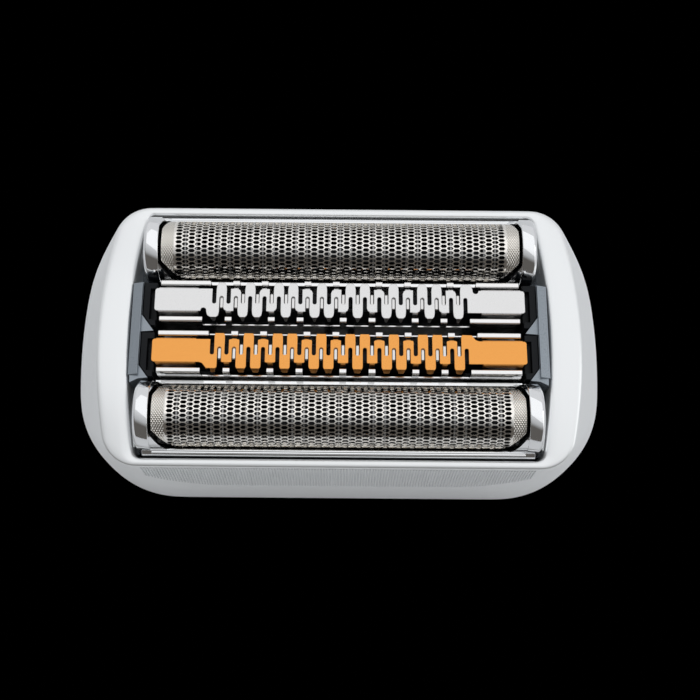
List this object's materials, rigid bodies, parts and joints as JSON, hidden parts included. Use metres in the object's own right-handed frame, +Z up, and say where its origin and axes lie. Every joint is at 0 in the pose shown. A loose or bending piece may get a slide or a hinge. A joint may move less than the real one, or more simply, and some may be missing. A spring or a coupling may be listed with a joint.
{
  "type": "shaver foil head",
  "caption": "Oval shaver head cassette with sprung perforated foils over running blades, and silver and gold serpentine middle trimmers in a satin frame.",
  "frame": {"origin": "centre of the rim that the head stands on", "axes": "+X along the foils, +Y from the front ribbed wall to the rear, +Z up towards the foils"},
  "size_m": [0.0596, 0.0312, 0.0193],
  "materials": {
    "frame_plastic": "satin metallic",
    "chassis_plastic": "fine matt",
    "chromed_plastic": "polished",
    "foil_nickel": "electroformed, satin",
    "blade_steel": "ground",
    "carrier_plastic": "satin",
    "spring_steel": "bright",
    "guard_steel": "polished",
    "comb_gold": "titanium nitride, satin",
    "comb_steel": "satin"
  },
  "bodies": {
    "housing": {"outer_frame": "frame_plastic", "inner_chassis": "chassis_plastic", "front_foil_springs": "spring_steel", "front_trimmer_springs": "spring_steel", "rear_foil_springs": "spring_steel", "rear_trimmer_springs": "spring_steel"},
    "front_foil_unit": {"front_foil_frame": "chromed_plastic", "front_foil": "foil_nickel"},
    "front_foil_cutter": {"front_cutter_blades": "blade_steel", "front_cutter_carrier": "carrier_plastic", "front_cutter_coupling": "carrier_plastic"},
    "front_trimmer_unit": {"front_trimmer_carrier": "carrier_plastic", "front_trimmer_guard": "guard_steel", "front_trimmer_comb": "comb_gold"},
    "front_trimmer_runner": {"front_trimmer_cutter": "blade_steel", "front_trimmer_coupling": "carrier_plastic"},
    "rear_foil_unit": {"rear_foil_frame": "chromed_plastic", "rear_foil": "foil_nickel"},
    "rear_foil_cutter": {"rear_cutter_blades": "blade_steel", "rear_cutter_carrier": "carrier_plastic", "rear_cutter_coupling": "carrier_plastic"},
    "rear_trimmer_unit": {"rear_trimmer_carrier": "carrier_plastic", "rear_trimmer_guard": "guard_steel", "rear_trimmer_comb": "comb_steel"},
    "rear_trimmer_runner": {"rear_trimmer_cutter": "blade_steel", "rear_trimmer_coupling": "carrier_plastic"}
  },
  "joints": [
    {"name": "front_foil_float", "type": "slide", "parent": "housing", "child": "front_foil_unit", "axis": [0, 0, 1], "range_m": [-0.0015, 0], "stiffness_N_per_m": 200, "springref_m": 0.002, "deforming": ["front_foil_springs"]},
    {"name": "front_trimmer_float", "type": "slide", "parent": "housing", "child": "front_trimmer_unit", "axis": [0, 0, 1], "range_m": [-0.0015, 0], "stiffness_N_per_m": 200, "springref_m": 0.002, "deforming": ["front_trimmer_springs"]},
    {"name": "front_foil_stroke", "type": "slide", "parent": "front_foil_unit", "child": "front_foil_cutter", "axis": [1, 0, 0], "range_m": [-0.0008, 0.0008]},
    {"name": "front_trimmer_stroke", "type": "slide", "parent": "front_trimmer_unit", "child": "front_trimmer_runner", "axis": [1, 0, 0], "range_m": [-0.0008, 0.0008]},
    {"name": "rear_foil_float", "type": "slide", "parent": "housing", "child": "rear_foil_unit", "axis": [0, 0, 1], "range_m": [-0.0015, 0], "stiffness_N_per_m": 200, "springref_m": 0.002, "deforming": ["rear_foil_springs"]},
    {"name": "rear_trimmer_float", "type": "slide", "parent": "housing", "child": "rear_trimmer_unit", "axis": [0, 0, 1], "range_m": [-0.0015, 0], "stiffness_N_per_m": 200, "springref_m": 0.002, "deforming": ["rear_trimmer_springs"]},
    {"name": "rear_foil_stroke", "type": "slide", "parent": "rear_foil_unit", "child": "rear_foil_cutter", "axis": [1, 0, 0], "range_m": [-0.0008, 0.0008]},
    {"name": "rear_trimmer_stroke", "type": "slide", "parent": "rear_trimmer_unit", "child": "rear_trimmer_runner", "axis": [1, 0, 0], "range_m": [-0.0008, 0.0008]}
  ]
}
